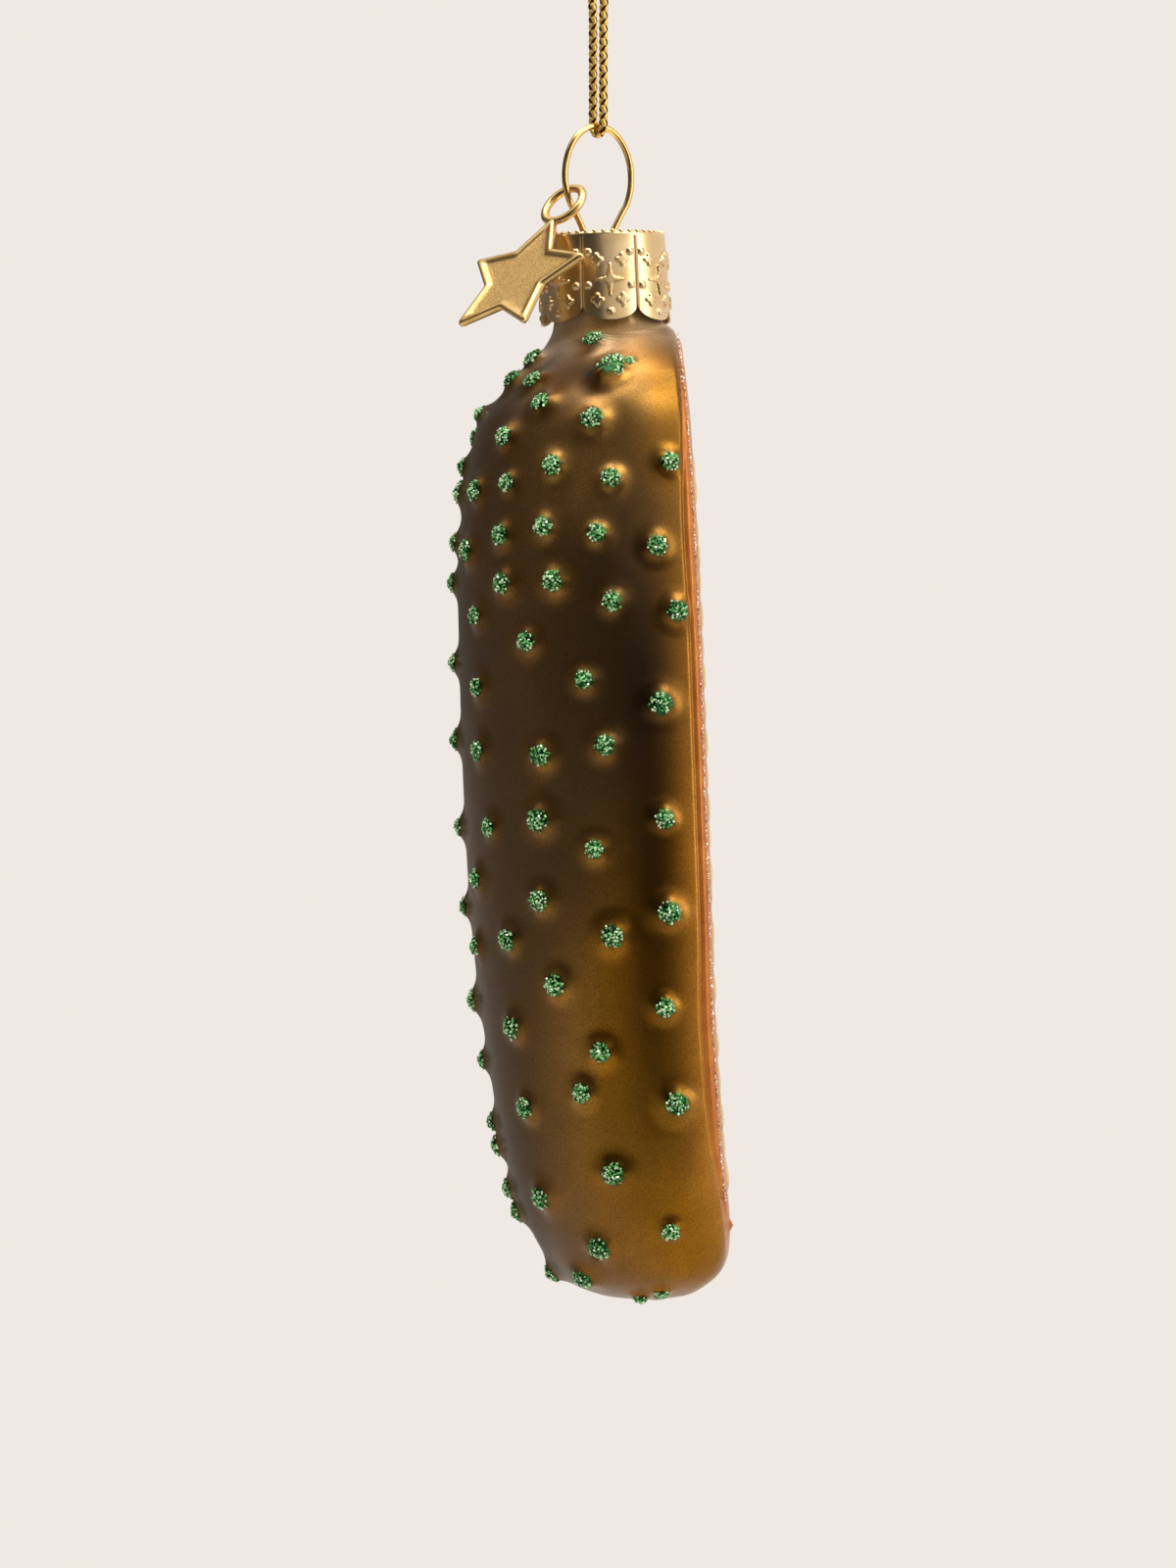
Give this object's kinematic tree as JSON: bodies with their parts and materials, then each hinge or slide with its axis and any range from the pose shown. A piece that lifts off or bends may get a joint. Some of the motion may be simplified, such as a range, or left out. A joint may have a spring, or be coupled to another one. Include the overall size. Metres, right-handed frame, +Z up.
{
  "type": "glass ornament",
  "caption": "Blown glass gherkin ornament, cut flat on one side, on a stamped gold cap with a wire loop, a small star charm and a doubled hanging cord.",
  "frame": {"origin": "where a hook bears inside the cord loop, just under its knot", "axes": "+Z up along the hanging cord, +X the way the cut face looks, the picture looks along +Y"},
  "size_m": [0.0332, 0.0439, 0.1713],
  "materials": {
    "lacquered_glass": "silvered inside, satin olive-brown lacquer outside",
    "cap_gold": "stamped, satin pale gold",
    "wire_gold": "bright drawn wire",
    "charm_gold": "cast, with a sanded field",
    "gold_braid": "metallic braid",
    "green_glitter": "coarse glitter",
    "pale_glitter": "fine glitter"
  },
  "bodies": {
    "knot": {"cord_knot": "gold_braid"},
    "cord": {"cord_loop": "gold_braid"},
    "hanger": {"hanger_wire": "wire_gold", "cap": "cap_gold"},
    "charm": {"star_charm": "charm_gold"},
    "glass": {"glass_body": "lacquered_glass"}
  },
  "joints": [
    {"name": "ornament_spin", "type": "hinge", "parent": "knot", "child": "cord", "pos_m": [0, 0, 0], "axis": [0, 0, 1], "continuous": true},
    {"name": "ornament_swing", "type": "hinge", "parent": "cord", "child": "hanger", "pos_m": [0, 0, -0.0227], "axis": [0.829, 0.5592, 0], "range_deg": [-60, 60]},
    {"name": "star_swing", "type": "hinge", "parent": "hanger", "child": "charm", "pos_m": [-0.00342, -0.00231, -0.03141], "axis": [-0.7076, 0.7066, 0], "range_deg": [0, 60]},
    {"name": "glass_pull", "type": "slide", "parent": "hanger", "child": "glass", "axis": [0.0279, -0.0052, -0.9996], "range_m": [0, 0.026]}
  ]
}
